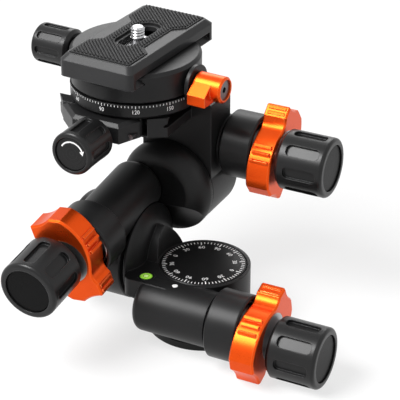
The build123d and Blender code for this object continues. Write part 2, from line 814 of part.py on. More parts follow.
platform_top = platform_floor + channel_depth
lower_plane = Plane(origin=(clamp_x, clamp_y, platform_floor), x_dir=(0, 1, 0), z_dir=(1, 0, 0))
lower_channel = channel_outline(lower_plane)
lower_tongue = tongue_outline(lower_plane)
lips = ((tongue_slot_left, lock_x - lip_clear), (lock_x + lip_clear, tongue_slot_right))
with BuildPart() as roll_housing:
    rod(roll_plane, (0, 0), roll_body_front, roll_body_back, roll_body_r)
    with BuildSketch(Plane.XZ.offset(-roll_body_front)):
        with BuildLine():
            Polyline((block_left, roll_z), (block_right, roll_z), (block_right, block_top),
                     (platform_right, block_top), (platform_right, platform_bottom + platform_bite),
                     (block_left, platform_bottom + platform_bite), close=True)
        make_face()
    extrude(amount=-(platform_back - roll_body_front))
    add(roll_tube)
    with BuildSketch(Plane.XY.offset(platform_bottom)):
        with BuildLine():
            Polyline(
                (platform_gap_left, platform_front), (platform_gap_right, platform_front),
                (platform_right, platform_corner_y), (platform_right, platform_back),
                (platform_left + platform_back_cut, platform_back),
                (platform_left, platform_back - platform_back_cut),
                (platform_left, platform_front + platform_front_cut), close=True,
            )
        make_face()
    extrude(amount=platform_top - platform_bottom)
    with BuildSketch(Plane.XZ.offset(-roll_body_front)):
        with BuildLine():
            Polyline((gusset_top_left, platform_bottom), (gusset_top_right, platform_bottom),
                     (gusset_right, gusset_bottom), (gusset_left, gusset_bottom), close=True)
        make_face()
    extrude(amount=gusset_depth)
    extrude(lower_channel, amount=platform_right - clamp_x, mode=Mode.SUBTRACT)
    extrude(lower_channel, amount=-channel_reach, mode=Mode.SUBTRACT)
    for left, right in lips:
        slab((left - jaw_seam, right + jaw_seam), (platform_front - past, tongue_slot_back),
             (platform_floor, platform_top + past), Mode.SUBTRACT)
    slab((jaw_right, platform_gap_right), (platform_front - past, platform_front + jaw_slot_depth),
         (platform_bottom + jaw_slot_floor, platform_top + past), Mode.SUBTRACT)
    rod(roll_plane, (0, 0), roll_room_front, roll_body_back, roll_room_r, Mode.SUBTRACT)
    rod(roll_plane, (0, 0), roll_body_front, roll_room_front, roll_axle_r + running_gap, Mode.SUBTRACT)
    worm_tube_bore(roll_unit, roll_gap)
    rod(Plane.XZ, (lock_x, lock_z), -platform_front - screw_hole_depth, -platform_front,
        clamp_screw_r + clamp_screw_gap, Mode.SUBTRACT)
    for side in (-1, 1):
        rod(Plane.XZ, (lock_x + side * guide_pin_spread, lower_pin_z), -platform_front - pin_hole_depth,
            -platform_front, guide_pin_r + clamp_screw_gap, Mode.SUBTRACT)
save(roll_housing.part, "roll_housing")

with BuildPart() as roll_end_cap:
    rod(roll_plane, (0, 0), roll_body_back - end_cap_depth, roll_body_back - end_cap_inset, roll_room_r)
    rod(roll_plane, (0, 0), roll_body_back - end_cap_dish, roll_body_back, roll_room_r - roll_cap_rim,
        Mode.SUBTRACT)
    rod(roll_unit, (0, eccentric), sleeve_back - end_gap, roll_gap, sleeve_r + running_gap, Mode.SUBTRACT)
save(roll_end_cap.part, "roll_end_cap")

# Lower clamp: jaw, guide pins, screw, lock knob
jaw_back = platform_front - jaw_seam
with BuildPart() as platform_jaw:
    with BuildSketch(Plane.XY.offset(platform_bottom)):
        with BuildLine():
            Polyline((platform_gap_left, jaw_back), (jaw_right, jaw_back),
                     (jaw_tip_right, jaw_front), (jaw_tip_left, jaw_front), close=True)
        make_face()
    extrude(amount=platform_top - platform_bottom)
    chamfer(platform_jaw.faces().sort_by(Axis.Z)[-1].edges().sort_by(Axis.Y)[:3], length=jaw_chamfer)
    for left, right in lips:
        slab((left, right), (jaw_back, clamp_y - channel_lip_half),
             (platform_floor + tongue_lift, platform_top))
    extrude(lower_channel, amount=channel_reach, both=True, mode=Mode.SUBTRACT)
    rod(Plane.XZ, (lock_x, lock_z), -jaw_front, -jaw_front + jaw_boss_length, jaw_boss_r)
    rod(Plane.XZ, (lock_x, lock_z), -jaw_back, -jaw_front + jaw_boss_length,
        clamp_screw_r + running_gap, Mode.SUBTRACT)
    for side in (-1, 1):
        rod(Plane.XZ, (lock_x + side * guide_pin_spread, lower_pin_z), -jaw_back, -jaw_back + pin_bite,
            guide_pin_r, Mode.SUBTRACT)
save(platform_jaw.part, "platform_jaw")

with BuildPart() as platform_jaw_pins:
    for side in (-1, 1):
        rod(Plane.XZ, (lock_x + side * guide_pin_spread, lower_pin_z),
            -jaw_back - pin_bite - pin_reach - jaw_seam, -jaw_back + pin_bite, guide_pin_r)
save(platform_jaw_pins.part, "platform_jaw_pins")

lock_plane = Plane(origin=(lock_x, 0, lock_z), x_dir=(1, 0, 0), z_dir=(0, -1, 0))
with BuildPart() as platform_jaw_screw:
    rod(lock_plane, (0, 0), -lock_screw_tip, -lock_knob_end - knob_screw_short, clamp_screw_r)
save(platform_jaw_screw.part, "platform_jaw_screw")

save(lock_plane.location * fluted_knob(-lock_knob_start, -lock_knob_end, lock_knob_r,
                                       lock_knob_r - clamp_knob_rim, lock_knob_r - clamp_knob_seat,
                                       knob_flutes, clamp_screw_r, -lock_knob_end - knob_screw_short),
     "platform_lock_knob")
save(lock_plane.location * knob_cap(-lock_knob_end, lock_knob_r - clamp_knob_seat), "platform_knob_cap")

# Panning clamp: scale ring with its foot, and the bolt it turns on
with BuildPart() as clamp_base:
    rod(Plane.XY, (clamp_x, clamp_y), platform_floor + tongue_height, scale_top, scale_r)
    chamfer(clamp_base.edges().group_by(Axis.Z)[0], length=scale_chamfer)
    extrude(lower_tongue, amount=foot_half_length, both=True)
    rod(Plane.XY, (clamp_x, clamp_y), platform_floor, scale_top, bolt_r, Mode.SUBTRACT)
    rod(Plane.XY, (clamp_x, clamp_y), platform_floor, platform_floor + bolt_head_room, bolt_head_r,
        Mode.SUBTRACT)
save(clamp_base.part, "clamp_base")

bolt_seat = body_floor - bolt_seat_depth
with BuildPart() as clamp_centre_bolt:
    rod(Plane.XY, (clamp_x, clamp_y), platform_floor + bolt_head_lift, bolt_seat + end_gap, bolt_r)
    rod(Plane.XY, (clamp_x, clamp_y), platform_floor + bolt_head_lift, platform_floor + bolt_head_room,
        bolt_head_r)
    rod(Plane.XY, (clamp_x, clamp_y), bolt_seat + end_gap, bolt_seat + end_gap + bolt_head_height,
        bolt_head_r)
save(clamp_centre_bolt.part, "clamp_centre_bolt")

# The upper clamp and the plate are built square on the clamp's axis and turned together.
upper = Location((clamp_x, clamp_y, 0), (0, 0, 1), clamp_turn)
upper_plane = Plane(origin=(0, 0, body_floor), x_dir=(1, 0, 0), z_dir=(0, -1, 0))
upper_channel = channel_outline(upper_plane)
upper_tongue = tongue_outline(upper_plane)
upper_top = body_floor + channel_depth
jaw_plane = Plane(origin=(0, 0, jaw_axis_z), x_dir=(0, -1, 0), z_dir=(-1, 0, 0))
lever_plane = Plane(origin=(0, 0, lever_z), x_dir=(0, 1, 0), z_dir=(1, 0, 0))
arm_plane = Plane(origin=(lever_start + lever_arm_inset, 0, lever_z), x_dir=(0, 1, 0), z_dir=(1, 0, 0))

with BuildPart() as clamp_body:
    rod(Plane.XY, (0, 0), body_bottom, upper_top, body_r)
    chamfer(clamp_body.edges().group_by(Axis.Z)[0], length=body_bottom_chamfer)
    chamfer(clamp_body.edges().group_by(Axis.Z)[-1], length=body_top_chamfer)
    extrude(upper_channel, amount=channel_reach, both=True, mode=Mode.SUBTRACT)
    slab((-2 * body_r, clamp_split), (-2 * body_r, 2 * body_r), (body_bottom - past, upper_top + past),
         Mode.SUBTRACT)
    slab((-2 * body_r, 0), (-2 * body_r, 2 * body_r), (body_floor, upper_top + past), Mode.SUBTRACT)
    slab((notch_left, notch_right), (-2 * body_r, notch_back), (body_floor - notch_depth, body_floor + past),
         Mode.SUBTRACT)
    rod(Plane.XY, (0, 0), body_bottom, body_floor, bolt_r + running_gap, Mode.SUBTRACT)
    rod(Plane.XY, (0, 0), bolt_seat, body_floor, bolt_head_r + bolt_head_gap, Mode.SUBTRACT)
    rod(jaw_plane, (0, 0), -clamp_split - upper_hole_depth, -clamp_split,
        clamp_screw_r + clamp_screw_gap, Mode.SUBTRACT)
    for side in (-1, 1):
        rod(jaw_plane, (side * guide_pin_spread, pin_drop), -clamp_split - upper_hole_depth, -clamp_split,
            guide_pin_r + clamp_screw_gap, Mode.SUBTRACT)
    rod(lever_plane, (0, 0), lever_boss_start, lever_boss_end, lever_boss_r)
    rod(lever_plane, (0, 0), body_r - boss_bite, lever_boss_start, lever_neck_r)
    rod(lever_plane, (0, 0), body_r - upper_hole_depth, lever_boss_end, clamp_screw_r + clamp_screw_gap,
        Mode.SUBTRACT)
save(upper * clamp_body.part, "clamp_body")

with BuildPart() as clamp_jaw:
    rod(Plane.XY, (0, 0), body_bottom + jaw_lift, upper_top + jaw_rise, body_r)
    chamfer(clamp_jaw.edges().group_by(Axis.Z)[0], length=body_bottom_chamfer)
    chamfer(clamp_jaw.edges().group_by(Axis.Z)[-1], length=body_top_chamfer)
    slab((jaw_rise_in, 2 * body_r), (-2 * body_r, 2 * body_r), (upper_top, upper_top + 2 * jaw_rise),
         Mode.SUBTRACT)
    extrude(upper_channel, amount=channel_reach, both=True, mode=Mode.SUBTRACT)
    slab((-channel_lip_half, 2 * body_r), (-2 * body_r, 2 * body_r), (body_bottom - past, upper_top + past),
         Mode.SUBTRACT)
    slab((clamp_split - jaw_seam, 0), (-2 * body_r, 2 * body_r),
         (body_bottom - past, body_floor + tongue_lift), Mode.SUBTRACT)
    rod(jaw_plane, (0, 0), body_r - boss_bite, -jaw_knob_start - end_gap, upper_boss_r)
    rod(jaw_plane, (0, 0), -clamp_split, -jaw_knob_start, clamp_screw_r + running_gap, Mode.SUBTRACT)
    for side in (-1, 1):
        rod(jaw_plane, (side * guide_pin_spread, pin_drop), -clamp_split, -clamp_split + upper_pin_bite,
            guide_pin_r, Mode.SUBTRACT)
save(upper * clamp_jaw.part, "clamp_jaw")

with BuildPart() as clamp_jaw_pins:
    for side in (-1, 1):
        rod(jaw_plane, (side * guide_pin_spread, pin_drop), -clamp_split - upper_pin_reach,
            -clamp_split + upper_pin_bite, guide_pin_r)
save(upper * clamp_jaw_pins.part, "clamp_jaw_pins")

with BuildPart() as clamp_jaw_screw:
    rod(jaw_plane, (0, 0), -clamp_split - upper_screw_reach, -jaw_knob_end - knob_screw_short, clamp_screw_r)
save(upper * clamp_jaw_screw.part, "clamp_jaw_screw")

save(upper * jaw_plane.location * fluted_knob(-jaw_knob_start, -jaw_knob_end, jaw_knob_r,
                                              jaw_knob_r - clamp_knob_rim, jaw_knob_r - clamp_knob_seat,
                                              knob_flutes, clamp_screw_r, -jaw_knob_end - knob_screw_short),
     "clamp_jaw_knob")
save(upper * jaw_plane.location * knob_cap(-jaw_knob_end, jaw_knob_r - clamp_knob_seat), "clamp_jaw_knob_cap")

# Lever that locks the panning clamp
with BuildPart() as clamp_lever:
    rod(lever_plane, (0, 0), lever_start, lever_end, lever_hub_r)
    chamfer(clamp_lever.edges().filter_by(GeomType.CIRCLE), length=lever_chamfer)
    with BuildSketch(arm_plane):
        with BuildLine():
            Polyline((0, lever_arm_low), (-lever_arm, lever_arm_low), (-lever_arm, lever_arm_high),
                     (lever_arm_root_y, lever_arm_root_z), (0, 0), close=True)
        make_face()
    extrude(amount=lever_arm_width)
    rod(lever_plane, (0, 0), lever_start, lever_end, clamp_screw_r, Mode.SUBTRACT)
    rod(lever_plane, (0, 0), lever_end - lever_screw_head, lever_end, lever_screw_r, Mode.SUBTRACT)
save(upper * clamp_lever.part, "clamp_lever")

with BuildPart() as clamp_lever_screw:
    rod(lever_plane, (0, 0), body_r - lever_screw_reach, lever_end - lever_screw_inset, clamp_screw_r)
    rod(lever_plane, (0, 0), lever_end - lever_screw_head, lever_end - lever_screw_inset, lever_screw_r)
    with BuildSketch(Plane.YZ.offset(lever_end - hex_depth)):
        with Locations((0, lever_z)):
            RegularPolygon(hex_r, 6)
    extrude(amount=hex_depth + past, mode=Mode.SUBTRACT)
save(upper * clamp_lever_screw.part, "clamp_lever_screw")

# Camera plate with its rubber pad and camera screw
plate_under = body_floor + tongue_height
with BuildPart() as plate_body:
    with BuildSketch(Plane.XY.offset(plate_under)):
        RectangleRounded(2 * plate_half_width, 2 * plate_half_length, plate_corner)
    extrude(amount=plate_edge - plate_under)
    with BuildSketch(Plane.XY.offset(plate_edge)):
        RectangleRounded(2 * plate_half_width, 2 * plate_half_length, plate_corner)
    with BuildSketch(Plane.XY.offset(plate_top)):
        RectangleRounded(2 * plate_top_half_width, 2 * plate_top_half_length, plate_corner)
    loft()
    with BuildSketch(Plane.XY.offset(skirt_bottom)):
        RectangleRounded(2 * plate_half_width, 2 * plate_half_length, plate_corner)
        Rectangle(4 * plate_half_width, 2 * (plate_half_length - skirt_thickness), mode=Mode.SUBTRACT)
    extrude(amount=plate_under - skirt_bottom)
    extrude(upper_tongue, amount=plate_half_length - plate_foot_inset, both=True)
    with BuildSketch(Plane.XY.offset(plate_top - pad_thickness + pad_proud)):
        with BuildLine():
            pad_outline = Polyline(
                (pad_half_width, pad_half_length), (-pad_half_width, pad_half_length),
                (-pad_half_width, pad_waist_half + pad_slope), (-pad_waist, pad_waist_half),
                (-pad_waist, -pad_waist_half), (-pad_half_width, -pad_waist_half - pad_slope),
                (-pad_half_width, -pad_half_length), (pad_half_width, -pad_half_length),
                (pad_half_width, -pad_waist_half - pad_slope), (pad_waist, -pad_waist_half),
                (pad_waist, pad_waist_half), (pad_half_width, pad_waist_half + pad_slope), close=True,
            )
        make_face()
    extrude(amount=pad_thickness, mode=Mode.SUBTRACT)
    with BuildSketch(Plane.XY.offset(plate_under - tongue_height)):
        with Locations(Location((0, slot_shift - plate_shift, 0), (0, 0, 1), 90)):
            SlotOverall(slot_length, 2 * slot_half_width)
    extrude(amount=plate_cut, mode=Mode.SUBTRACT)
    with BuildSketch(Plane.XY.offset(plate_under - tongue_height)):
        with Locations(Location((0, slot_shift - plate_shift, 0), (0, 0, 1), 90)):
            SlotOverall(slot_room_length, 2 * slot_room_half_width)
    extrude(amount=slot_room_top - plate_under + tongue_height, mode=Mode.SUBTRACT)
save(upper * Pos(0, plate_shift, 0) * plate_body.part, "plate_body")

with BuildPart() as plate_pad:
    with BuildSketch(Plane.XY.offset(plate_top - pad_thickness + pad_proud)):
        with BuildLine():
            add(pad_outline)
        make_face()
        with Locations(Location((0, slot_shift - plate_shift, 0), (0, 0, 1), 90)):
            SlotOverall(slot_length + 2 * pad_slot_rim, 2 * (slot_half_width + pad_slot_rim),
                        mode=Mode.SUBTRACT)
    extrude(amount=pad_thickness)
    fillet(plate_pad.edges().group_by(Axis.Z)[-1], radius=pad_round)
save(upper * Pos(0, plate_shift, 0) * plate_pad.part, "plate_pad")

with BuildPart() as camera_screw:
    rod(Plane.XY, (0, slot_shift), camera_screw_head_bottom, slot_room_top - camera_screw_gap,
        camera_screw_head_r)
    rod(Plane.XY, (0, slot_shift), slot_room_top - camera_screw_gap, plate_top + camera_screw_gap,
        camera_screw_neck_r)
    rod(Plane.XY, (0, slot_shift), plate_top, camera_screw_top, camera_screw_r)
    chamfer(camera_screw.edges().group_by(Axis.Z)[-1], length=camera_screw_chamfer)
save(upper * camera_screw.part, "camera_screw")
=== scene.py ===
import math

import bmesh
import bpy
from mathutils import Matrix, Vector


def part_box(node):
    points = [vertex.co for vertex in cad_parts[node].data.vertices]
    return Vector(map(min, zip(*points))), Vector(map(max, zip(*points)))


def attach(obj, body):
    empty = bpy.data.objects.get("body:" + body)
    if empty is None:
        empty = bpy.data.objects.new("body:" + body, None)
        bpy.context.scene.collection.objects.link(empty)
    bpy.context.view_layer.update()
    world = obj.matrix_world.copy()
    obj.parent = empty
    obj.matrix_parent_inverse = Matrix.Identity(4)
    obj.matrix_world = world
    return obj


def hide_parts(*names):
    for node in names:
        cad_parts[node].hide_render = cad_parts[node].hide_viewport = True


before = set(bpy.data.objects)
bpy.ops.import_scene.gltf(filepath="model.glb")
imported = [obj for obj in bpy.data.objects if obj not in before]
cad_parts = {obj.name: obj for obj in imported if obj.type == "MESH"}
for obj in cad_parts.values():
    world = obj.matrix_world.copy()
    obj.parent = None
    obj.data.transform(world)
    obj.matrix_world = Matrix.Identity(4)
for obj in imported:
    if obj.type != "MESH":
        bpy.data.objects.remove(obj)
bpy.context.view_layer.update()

scene = bpy.context.scene
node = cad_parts
mm = 0.001

# Camera: the head is seen from the front right and above, from about three quarters of a metre.
# A long lens keeps the knobs' axes nearly parallel.
lens_mm, sensor_mm = 148.6, 36.0
camera_tilt, camera_swing = 61.82, 27.02
camera_data = bpy.data.cameras.new("studio_camera")
camera_data.lens = lens_mm
camera_data.sensor_width = sensor_mm
camera_data.clip_end = 10.0
camera = bpy.data.objects.new("studio_camera", camera_data)
camera.location = (0.2951, -0.5821, 0.4135)
camera.rotation_euler = (math.radians(camera_tilt), 0.0, math.radians(camera_swing))
scene.collection.objects.link(camera)
scene.camera = camera


# Studio: a pale paper sheet under the head and a white surround. One large soft box hangs in
# front, above and to the left, and two weak ones fill the right side and the back.
class Wire:
    """A value inside a finish. Arithmetic on wires adds the shader nodes that work it out."""

    def __init__(self, tree, socket=None):
        self.tree = tree
        self.socket = socket

    def node(self, kind, settings, sockets, output=0):
        """The one way to add a node: its type, its settings, and the values or wires of its sockets."""
        made = self.tree.nodes.new(kind)
        for key, value in settings.items():
            setattr(made, key, value)
        for key, value in sockets.items():
            if isinstance(value, Wire):
                self.tree.links.new(value.socket, made.inputs[key])
            else:
                made.inputs[key].default_value = value
        return Wire(self.tree, made.outputs[output])

    def math(self, operation, *values):
        return self.node("ShaderNodeMath", {"operation": operation}, dict(enumerate(values)))

    def vector_math(self, operation, other=None, output="Vector"):
        sockets = {0: self} if other is None else {0: self, 1: other}
        return self.node("ShaderNodeVectorMath", {"operation": operation}, sockets, output)

    def __add__(self, other):
        return self.math("ADD", self, other)

    def __radd__(self, other):
        return self.math("ADD", other, self)

    def __sub__(self, other):
        return self.math("SUBTRACT", self, other)

    def __rsub__(self, other):
        return self.math("SUBTRACT", other, self)

    def __mul__(self, other):
        return self.math("MULTIPLY", self, other)

    def __rmul__(self, other):
        return self.math("MULTIPLY", other, self)

    def clip(self):
        return self.node("ShaderNodeMath", {"operation": "ADD", "use_clamp": True}, {0: self, 1: 0.0})

    def noise(self, scale, detail):
        """Mottling over the places that this wire holds."""
        return self.node("ShaderNodeTexNoise", {}, {"Vector": self, "Scale": scale, "Detail": detail})

    def blend(self, low, high):
        """A colour between two, by this wire."""
        return self.node("ShaderNodeMix", {"data_type": "RGBA"}, {0: self, 6: low, 7: high}, 2)

    def feed(self, socket):
        self.tree.links.new(self.socket, socket)


def seen_rays(tree):
    """One where the surround is looked at or mirrored, and nought where it only gives light."""
    camera_ray, glossy_ray, clear_ray = (
        Wire(tree).node("ShaderNodeLightPath", {}, {}, kind)
        for kind in ("Is Camera Ray", "Is Glossy Ray", "Is Transmission Ray"))
    return (camera_ray + glossy_ray + clear_ray).clip()


def start_finish(name, steady):
    """A new finish with its steady values set, and the place on the piece as a wire."""
    finish = bpy.data.materials.new(name)
    finish.use_nodes = True
    shader = finish.node_tree.nodes["Principled BSDF"]
    for socket, value in steady.items():
        shader.inputs[socket].default_value = value
    place = Wire(finish.node_tree).node("ShaderNodeTexCoord", {}, {}, "Object")
    return finish, shader, place


surround = bpy.data.worlds.new("white_surround")
surround.use_nodes = True
scene.world = surround
scene.view_settings.view_transform = "Standard"
background = surround.node_tree.nodes["Background"]
background.inputs["Color"].default_value = (1.0, 1.0, 1.0, 1.0)
ambient = 0.30
(seen_rays(surround.node_tree) * (1.0 - ambient) + ambient).feed(background.inputs["Strength"])

paper_glow = 0.72
paper, paper_shader, paper_place = start_finish("studio_paper", {"Roughness": 0.9, "Specular IOR Level": 0.1})
paper_tint = paper_place.noise(900.0, 3.0).blend((0.90, 0.90, 0.90, 1.0), (0.94, 0.94, 0.94, 1.0))
paper_tint.feed(paper_shader.inputs["Base Color"])
paper_sheet = paper_place.node("ShaderNodeMixShader", {}, {
    0: seen_rays(paper.node_tree) * paper_glow,
    1: Wire(paper.node_tree, paper_shader.outputs[0]),
    2: paper_place.node("ShaderNodeEmission", {}, {"Strength": 1.0}),
})
paper_sheet.feed(paper.node_tree.nodes["Material Output"].inputs["Surface"])

floor_shape = bmesh.new()
bmesh.ops.create_grid(floor_shape, x_segments=8, y_segments=8, size=2.5)
floor_mesh = bpy.data.meshes.new("studio_floor")
floor_shape.to_mesh(floor_mesh)
floor_shape.free()
floor = bpy.data.objects.new("studio_floor", floor_mesh)
scene.collection.objects.link(floor)
floor_mesh.materials.append(paper)

head_middle = Vector((-0.02, 0.0, 0.07))
for lamp_name, direction, distance, width, watts in (
    ("soft_box_front", Vector((-0.40, -0.48, 0.76)), 1.05, 0.55, 17.0),
    ("soft_box_right", Vector((0.86, -0.30, 0.42)), 1.20, 0.50, 0.8),
    ("soft_box_back", Vector((-0.30, 0.80, 0.55)), 1.20, 0.60, 4.0),
):
    lamp_data = bpy.data.lights.new(lamp_name, "AREA")
    lamp_data.shape = "SQUARE"
    lamp_data.size = width
    lamp_data.energy = watts
    lamp = bpy.data.objects.new(lamp_name, lamp_data)
    lamp.location = head_middle + direction.normalized() * distance
    lamp.rotation_euler = (-direction).to_track_quat("-Z", "Y").to_euler()
    scene.collection.objects.link(lamp)


# Base: a turned aluminium disc with a chamfered rim that sits on the tripod, dyed black. The post
# through it carries the pan wheel and is bored for the 3/8 inch stud.
def dress(finish, *names):
    """Gives finished CAD nodes their material."""
    for name in names:
        node[name].data.materials.clear()
        node[name].data.materials.append(finish)


def near_black(level):
    """A dark dye with a touch of blue in it."""
    return (level, level, level * 1.03, 1.0)


def rubbed_edges(place, radius, strength):
    """The softened normal at sharp edges, and a mask of where those edges are, by which a highlight is
    painted along them.
    """
    soft = place.node("ShaderNodeBevel", {"samples": 4}, {"Radius": radius})
    flat = place.node("ShaderNodeNewGeometry", {}, {}, "Normal")
    alike = soft.vector_math("DOT_PRODUCT", flat, "Value")
    return soft, ((1.0 - alike) * strength).clip()


def relief(shader, height, strength, depth, soft=None):
    """Fine relief of a finish, over the softened normal where it has one."""
    sockets = {"Strength": strength, "Distance": depth, "Height": height}
    if soft is not None:
        sockets["Normal"] = soft
    height.node("ShaderNodeBump", {}, sockets).feed(shader.inputs["Normal"])


def turned_black(name, centre, axis, tint, roughness, shine=0.20):
    """Black anodised aluminium turned on a lathe: fine rings round the axis under a satin dye."""
    finish, shader, place = start_finish(name, {"Specular IOR Level": shine})
    away = place.vector_math("SUBTRACT", tuple(centre))
    radius = away.vector_math("CROSS_PRODUCT", tuple(axis)).vector_math("LENGTH", output="Value")
    along = away.vector_math("DOT_PRODUCT", tuple(axis), "Value")
    rings = place.node("ShaderNodeTexNoise", {"noise_dimensions": "1D"},
                       {"W": radius + along, "Scale": 3800.0, "Detail": 2.0})
    cloud = place.noise(70.0, 3.0)
    soft, painted_edge_highlight = rubbed_edges(place, 0.45 * mm, 3.0)
    dye = cloud.blend(near_black(tint * 0.8), near_black(tint * 1.25))
    # Painted highlight: the colour is lightened along sharp edges.
    painted_edge_highlight.blend(dye, near_black(tint * 4.5)).feed(shader.inputs["Base Color"])
    (rings * 0.14 + cloud * 0.06 + (roughness - 0.10)).feed(shader.inputs["Roughness"])
    relief(shader, rings, 0.10, 0.02 * mm, soft)
    return finish


upright = (0.0, 0.0, 1.0)
dress(turned_black("base_black", (0.0, 0.0, 0.0), upright, 0.008, 0.34), "base_plate")


# Castings: the pan, tilt and roll housings with their worm tubes, flanges and clamp platform,
# blasted and dyed black, and the caps that close the tilt and roll wheels in.
def cast_black(name, tint, roughness):
    """Blasted and dyed metal: a fine grain with pale specks, and a painted highlight along the edges."""
    finish, shader, place = start_finish(name, {"Specular IOR Level": 0.20})
    grain = place.noise(2400.0, 2.0)
    cloud = place.noise(45.0, 4.0)
    soft, painted_edge_highlight = rubbed_edges(place, 0.7 * mm, 2.6)
    dye = cloud.blend(near_black(tint * 0.85), near_black(tint * 1.2))
    speck = (grain * 6.0 - 3.6).clip() * 0.35
    speckled = speck.blend(dye, near_black(tint * 2.4))
    # Painted highlight: the colour is lightened along sharp edges.
    painted_edge_highlight.blend(speckled, near_black(tint * 4.2)).feed(shader.inputs["Base Color"])
    (grain * 0.12 + cloud * 0.08 + (roughness - 0.10)).feed(shader.inputs["Roughness"])
    relief(shader, grain, 0.16, 0.03 * mm, soft)
    return finish


dress(cast_black("casting_black", 0.009, 0.40),
      "pan_housing", "tilt_housing", "roll_housing", "tilt_end_cap", "roll_end_cap")


# Dial: a black turned disc fixed to the post, so it stands still while the housing turns round it.
# Its ticks stand every five degrees, and its plain numbers count 0 to 90 and back.
def new_piece(name, shape, finish, body, smooth=False):
    """Makes a piece from its shape, finishes it and lets it ride on a body."""
    mesh = bpy.data.meshes.new(name)
    bmesh.ops.recalc_face_normals(shape, faces=shape.faces)
    shape.to_mesh(mesh)
    shape.free()
    for face in mesh.polygons:
        face.use_smooth = smooth
    piece = bpy.data.objects.new(name, mesh)
    scene.collection.objects.link(piece)
    mesh.materials.append(finish)
    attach(piece, body)
    return piece


def add_strip(shape, rows, thickness, closed=False, filled=False):
    """A printed strip through rows of points. Closed rows run round a ring, which may be filled."""
    lines = [[shape.verts.new(spot) for spot in row] for row in rows]
    faces = []
    for near, far in zip(lines, lines[1:]):
        for k in range(len(near) if closed else len(near) - 1):
            after = (k + 1) % len(near)
            faces.append(shape.faces.new((near[k], near[after], far[after], far[k])))
    if filled:
        faces.append(shape.faces.new(lines[0][::-1]))
    shape.normal_update()
    bmesh.ops.solidify(shape, geom=faces, thickness=thickness)


def add_figure(shape, words, height, place_spot):
    """A printed number. Each of its points is put on the surface by place_spot(across, up, out)."""
    capital_share = 0.69
    letters = bpy.data.curves.new("figure", "FONT")
    letters.body = words
    letters.size = height / capital_share
    letters.align_x = "CENTER"
    letters.align_y = "CENTER"
    letters.resolution_u = 3
    letters.extrude = 0.03 * mm
    letters.space_character = 1.06
    holder = bpy.data.objects.new("figure", letters)
    scene.collection.objects.link(holder)
    view = bpy.context.evaluated_depsgraph_get()
    outline = bpy.data.meshes.new_from_object(holder.evaluated_get(view))
    for point in outline.vertices:
        point.co = place_spot(point.co.x, point.co.y, point.co.z)
    shape.from_mesh(outline)
    bmesh.ops.remove_doubles(shape, verts=shape.verts, dist=0.0005 * mm)
    bpy.data.objects.remove(holder)
    bpy.data.curves.remove(letters)
    bpy.data.meshes.remove(outline)


def on_dial(angle):
    """Puts the points of a number flat on the dial, with its foot toward the middle."""
    def spot(across, up, out):
        reach = dial_number_r + up
        return Vector((math.cos(angle) * reach + math.sin(angle) * across,
                       math.sin(angle) * reach - math.cos(angle) * across, dial_top + out))
    return spot


print_white, print_shader, print_place = start_finish(
    "print_white", {"Roughness": 0.55, "Specular IOR Level": 0.3})
print_tint = print_place.noise(5200.0, 2.0).blend((0.62, 0.62, 0.62, 1.0), (0.88, 0.88, 0.88, 1.0))
print_tint.feed(print_shader.inputs["Base Color"])
print_depth = 0.06 * mm
dress(turned_black("dial_black", (0.0, 0.0, 0.0), upright, 0.006, 0.36), "pan_dial")
dial_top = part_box("pan_dial")[1].z
dial_lift = Vector((0.0, 0.0, dial_top + 0.03 * mm))
dial_step, dial_number_step = 5, 30
dial_number_r, dial_figure_height = 14.3 * mm, 2.1 * mm
dial_tick_out, dial_long_in, dial_short_in = 19.0 * mm, 16.6 * mm, 17.5 * mm
dial_long_half_wide, dial_short_half_wide = 0.24 * mm, 0.18 * mm
dial_shape = bmesh.new()
for turn in range(0, 360, dial_step):
    angle = math.radians(turn)
    long_tick = turn % dial_number_step == 0
    half_wide = dial_long_half_wide if long_tick else dial_short_half_wide
    out_way = Vector((math.cos(angle), math.sin(angle), 0.0))
    side_way = Vector((-math.sin(angle), math.cos(angle), 0.0)) * half_wide
    rows = [(out_way * reach - side_way + dial_lift, out_way * reach + side_way + dial_lift)
            for reach in (dial_long_in if long_tick else dial_short_in, dial_tick_out)]
    add_strip(dial_shape, rows, print_depth)
for turn in range(0, 360, dial_number_step):
    count = turn % 180
    add_figure(dial_shape, str(min(count, 180 - count)), dial_figure_height, on_dial(math.radians(turn)))
new_piece("dial_marks", dial_shape, print_white, "base")

# Index dot: a spot of white paint on the crest of the pan worm tube. The dial is read against it.
# It is a little thicker in the middle than at its rim.
pan_tube_y, pan_tube_z, pan_tube_r = -24.0 * mm, 18.63 * mm, 12.7 * mm
dot_x, dot_y, dot_r, dot_depth = -1.9 * mm, -24.2 * mm, 1.3 * mm, 0.12 * mm
dot_steps = 32
dot_shape = bmesh.new()
dot_rows = []
for share, rise in ((0.12, 0.10 * mm), (0.45, 0.10 * mm), (0.8, 0.10 * mm), (1.0, 0.03 * mm)):
    row = []
    for step in range(dot_steps):
        angle = math.tau * step / dot_steps
        y = dot_y + dot_r * share * math.sin(angle)
        crest = pan_tube_z + math.sqrt(pan_tube_r ** 2 - (y - pan_tube_y) ** 2)
        row.append(Vector((dot_x + dot_r * share * math.cos(angle), y, crest + rise)))
    dot_rows.append(row)
add_strip(dot_shape, dot_rows, dot_depth, closed=True, filled=True)
new_piece("index_dot", dot_shape, print_white, "pan_body", smooth=True)

